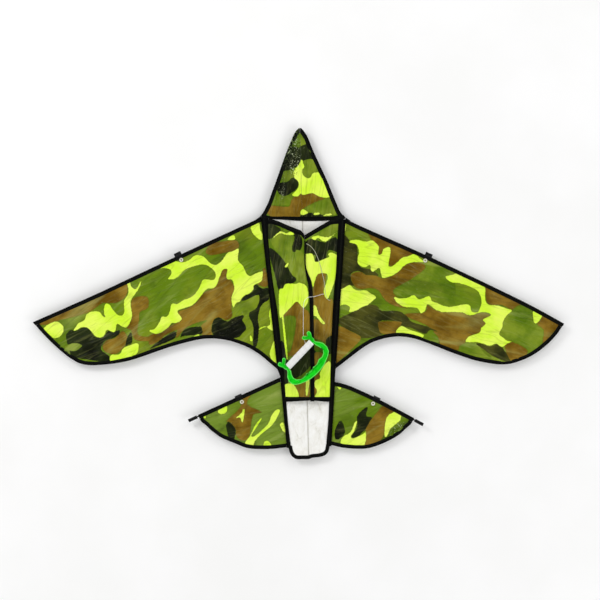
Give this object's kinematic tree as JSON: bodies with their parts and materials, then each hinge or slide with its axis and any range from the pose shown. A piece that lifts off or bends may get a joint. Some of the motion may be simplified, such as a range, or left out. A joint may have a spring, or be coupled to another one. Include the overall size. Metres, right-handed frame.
{
  "type": "plane-shaped single-line kite",
  "caption": "Plane-shaped kite of printed cloth with an open air tunnel along its body, folding wings and tail planes, spreader rods, and a hand winder with its flying line.",
  "frame": {"origin": "middle of the kite lying face up, on the surface under its spreader sockets", "axes": "+X to the right wing tip as seen from the printed face with the nose up, +Y to the nose, +Z out of the printed face"},
  "size_m": [1.401, 0.8741, 0.0471],
  "materials": {
    "camouflage_cloth": "glossy thin polyester, printed",
    "offwhite_cloth": "thin polyester",
    "black_tape": "woven binding",
    "black_vinyl": "soft vinyl, satin",
    "black_rod": "glass fibre rod",
    "eyelet_metal": "satin",
    "green_plastic": "moulded, glossy",
    "flying_line": "braided line",
    "bridle_line": "braided line"
  },
  "bodies": {
    "fuselage": {"nose_panel_left": "camouflage_cloth", "nose_panel_right": "camouflage_cloth", "nose_edge_tape_left": "black_tape", "nose_edge_tape_right": "black_tape", "nose_hem_tape": "black_tape", "back_panel": "offwhite_cloth", "back_hem_tape": "black_tape", "body_panel_left": "camouflage_cloth", "body_panel_right": "camouflage_cloth", "intake_tape_left": "black_tape", "intake_tape_right": "black_tape", "outlet_hem_tape_left": "black_tape", "outlet_hem_tape_right": "black_tape", "keel_tape": "black_tape", "side_seam_tape_left": "black_tape", "side_seam_tape_right": "black_tape", "spine_sleeve": "offwhite_cloth", "spine_rod": "black_rod", "flying_line": "flying_line", "bridle_line": "bridle_line"},
    "left_wing": {"wing_panel_left": "camouflage_cloth", "wing_spar_sleeve_left": "black_tape", "wing_spar_left": "black_rod", "wing_trailing_tape_left": "black_tape", "wing_connector_left": "black_vinyl", "wing_eyelet_left": "eyelet_metal"},
    "right_wing": {"wing_panel_right": "camouflage_cloth", "wing_spar_sleeve_right": "black_tape", "wing_spar_right": "black_rod", "wing_trailing_tape_right": "black_tape", "wing_connector_right": "black_vinyl", "wing_eyelet_right": "eyelet_metal"},
    "left_tail": {"tail_panel_left": "camouflage_cloth", "tail_spar_sleeve_left": "black_tape", "tail_spar_left": "black_rod", "tail_trailing_tape_left": "black_tape", "tail_connector_left": "black_vinyl", "tail_eyelet_left": "eyelet_metal", "tail_spar_cap_left": "black_vinyl"},
    "right_tail": {"tail_panel_right": "camouflage_cloth", "tail_spar_sleeve_right": "black_tape", "tail_spar_right": "black_rod", "tail_trailing_tape_right": "black_tape", "tail_connector_right": "black_vinyl", "tail_eyelet_right": "eyelet_metal", "tail_spar_cap_right": "black_vinyl"},
    "wing_spreader": {"wing_spreader_rod": "black_rod", "wing_socket_left": "black_vinyl", "wing_socket_right": "black_vinyl"},
    "tail_spreader": {"tail_spreader_rod": "black_rod", "tail_socket_left": "black_vinyl", "tail_socket_right": "black_vinyl"},
    "winder": {"winder_frame": "green_plastic", "line_winding": "flying_line"}
  },
  "joints": [
    {"name": "left_wing_fold", "type": "hinge", "parent": "fuselage", "child": "left_wing", "pos_m": [-0.07725, 0.0009, 0.0168], "axis": [-0.1077, 0.9942, 0], "range_deg": [0, 90]},
    {"name": "right_wing_fold", "type": "hinge", "parent": "fuselage", "child": "right_wing", "pos_m": [0.11075, -0.00105, 0.0168], "axis": [-0.066, -0.9978, 0], "range_deg": [0, 90]},
    {"name": "left_tail_fold", "type": "hinge", "parent": "fuselage", "child": "left_tail", "pos_m": [-0.03905, -0.3136, 0.0168], "axis": [-0.0944, 0.9955, 0], "range_deg": [0, 90]},
    {"name": "right_tail_fold", "type": "hinge", "parent": "fuselage", "child": "right_tail", "pos_m": [0.09095, -0.31735, 0.0168], "axis": [-0.0587, -0.9983, 0], "range_deg": [0, 90]},
    {"name": "wing_spreader_draw", "type": "slide", "parent": "fuselage", "child": "wing_spreader", "axis": [0, 1, 0], "range_m": [0, 0.37]},
    {"name": "tail_spreader_draw", "type": "slide", "parent": "fuselage", "child": "tail_spreader", "axis": [0, -1, 0], "range_m": [0, 0.17]},
    {"name": "winder_lift", "type": "slide", "parent": "fuselage", "child": "winder", "axis": [0, 0, 1], "range_m": [0, 0.3]}
  ]
}
